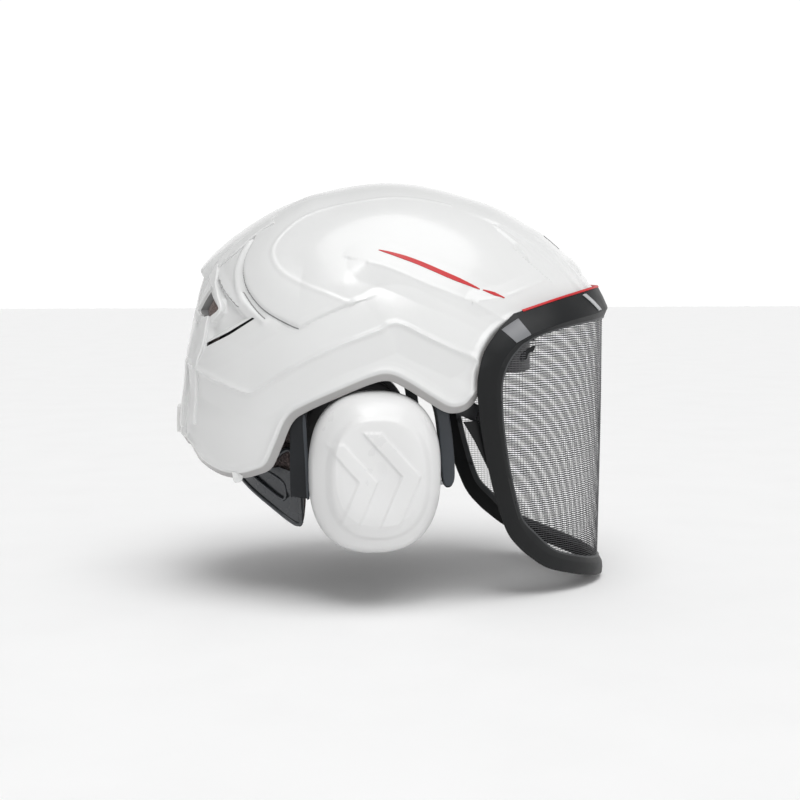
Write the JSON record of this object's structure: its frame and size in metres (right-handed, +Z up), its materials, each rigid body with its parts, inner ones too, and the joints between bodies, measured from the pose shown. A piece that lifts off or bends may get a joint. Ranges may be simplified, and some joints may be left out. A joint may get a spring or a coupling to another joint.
{
  "type": "forestry helmet",
  "caption": "Forestry helmet with a vented white shell, a swing-up mesh face visor, ear muffs on hinged yokes and an adjustable head cradle with a neck support.",
  "frame": {"origin": "centre of the head seat, level with the top of the wearer's ears", "axes": "+X forward, +Y to the wearer's left, +Z up"},
  "size_m": [0.298, 0.236, 0.2725],
  "materials": {
    "shell_white": "gloss white moulded shell",
    "liner_black": "matt black liner",
    "vent_fabric": "melange brown net",
    "accent_red": "gloss red strip",
    "clip_white": "white clip",
    "strap_grey": "woven strap",
    "clip_black": "satin black moulding",
    "pad_fabric": "brown melange fabric",
    "band_black": "satin band",
    "block_black": "satin black moulding",
    "pin_steel": "turned steel pins and screws",
    "slider_grey": "grey slider",
    "arm_grey": "dark grey moulding",
    "frame_black": "satin dark frame",
    "mesh_grey": "fine woven mesh",
    "retainer_grey": "grey edge strip",
    "yoke_slate": "slate blue-grey moulding",
    "cup_white": "satin-gloss white cup",
    "backplate_black": "satin black moulding",
    "cushion_black": "soft black cushion skin",
    "foam_grey": "open foam",
    "cradle_grey": "dark grey moulding",
    "knob_black": "satin black moulding"
  },
  "bodies": {
    "helmet": {"outer_shell": "shell_white", "inner_shell": "liner_black", "rear_vent_net": "vent_fabric", "accent_stripes": "accent_red", "rear_clip": "clip_white", "rim_tabs": "clip_white", "harness_straps": "strap_grey", "harness_clips": "clip_black", "crown_pad": "pad_fabric", "headband": "band_black", "brow_pad": "pad_fabric", "visor_hinge_block_left": "block_black", "visor_hinge_block_right": "block_black", "visor_pivot_pins": "pin_steel", "muff_hinge_block_left": "block_black", "muff_hinge_block_right": "block_black", "muff_hinge_pins": "pin_steel", "cradle_pivot_pins": "clip_black", "shell_screws": "pin_steel"},
    "vent_slider": {"vent_slider": "slider_grey"},
    "visor_arms": {"visor_arm_left": "arm_grey", "visor_arm_right": "arm_grey"},
    "visor": {"visor_frame": "frame_black", "visor_trim": "accent_red", "visor_mesh": "mesh_grey", "mesh_retainer": "retainer_grey", "frame_screws": "pin_steel", "visor_slide_left": "arm_grey", "visor_slide_right": "arm_grey"},
    "muff_yoke_left": {"muff_yoke_left": "yoke_slate", "cup_pivot_pins_left": "pin_steel"},
    "ear_cup_left": {"ear_cup_shell_left": "cup_white", "ear_cup_backplate_left": "backplate_black", "ear_cushion_left": "cushion_black", "cup_foam_left": "foam_grey"},
    "muff_yoke_right": {"muff_yoke_right": "yoke_slate", "cup_pivot_pins_right": "pin_steel"},
    "ear_cup_right": {"ear_cup_shell_right": "cup_white", "ear_cup_backplate_right": "backplate_black", "ear_cushion_right": "cushion_black", "cup_foam_right": "foam_grey"},
    "neck_cradle": {"neck_cradle": "cradle_grey", "neck_pad": "pad_fabric", "knob_housing": "cradle_grey"},
    "size_knob": {"size_knob": "knob_black", "knob_pinion": "knob_black"},
    "band_tongue_left": {"band_tongue_left": "band_black"},
    "band_tongue_right": {"band_tongue_right": "band_black"}
  },
  "joints": [
    {"name": "visor_swing", "type": "hinge", "parent": "helmet", "child": "visor_arms", "pos_m": [0.022, 0, 0.032], "axis": [0, -1, 0], "range_deg": [0, 54]},
    {"name": "visor_reach", "type": "slide", "parent": "visor_arms", "child": "visor", "axis": [0.9063, 0, -0.4226], "range_m": [0, 0.01]},
    {"name": "muff_swing_left", "type": "hinge", "parent": "helmet", "child": "muff_yoke_left", "pos_m": [0, 0.088, 0.031], "axis": [1, 0, 0], "range_deg": [0, 5]},
    {"name": "muff_swing_right", "type": "hinge", "parent": "helmet", "child": "muff_yoke_right", "pos_m": [0, -0.088, 0.031], "axis": [-1, 0, 0], "range_deg": [0, 5]},
    {"name": "cup_rock_left", "type": "hinge", "parent": "muff_yoke_left", "child": "ear_cup_left", "pos_m": [0, 0.0875, -0.045], "axis": [1, 0, 0], "range_deg": [-6, 6]},
    {"name": "cup_rock_right", "type": "hinge", "parent": "muff_yoke_right", "child": "ear_cup_right", "pos_m": [0, -0.0875, -0.045], "axis": [-1, 0, 0], "range_deg": [-6, 6]},
    {"name": "cradle_tilt", "type": "hinge", "parent": "helmet", "child": "neck_cradle", "pos_m": [-0.048, 0, 0.033], "axis": [0, 1, 0], "range_deg": [0, 8]},
    {"name": "knob_turn", "type": "hinge", "parent": "neck_cradle", "child": "size_knob", "pos_m": [-0.113, 0, -0.02], "axis": [1, 0, 0], "range_deg": [-60, 120]},
    {"name": "tongue_draw_left", "type": "slide", "parent": "neck_cradle", "child": "band_tongue_left", "axis": [0, -1, 0], "range_m": [-0.006, 0.012]},
    {"name": "tongue_draw_right", "type": "slide", "parent": "neck_cradle", "child": "band_tongue_right", "axis": [0, 1, 0], "range_m": [-0.006, 0.012]},
    {"name": "vent_slide", "type": "slide", "parent": "helmet", "child": "vent_slider", "axis": [-0.7547, 0, 0.6561], "range_m": [0, 0.009]}
  ],
  "couplings": [
    {"joint": "visor_reach", "follows": "visor_swing", "m_per_rad": 0.0106},
    {"joint": "tongue_draw_left", "follows": "knob_turn", "m_per_rad": 0.005},
    {"joint": "tongue_draw_right", "follows": "knob_turn", "m_per_rad": 0.005}
  ]
}
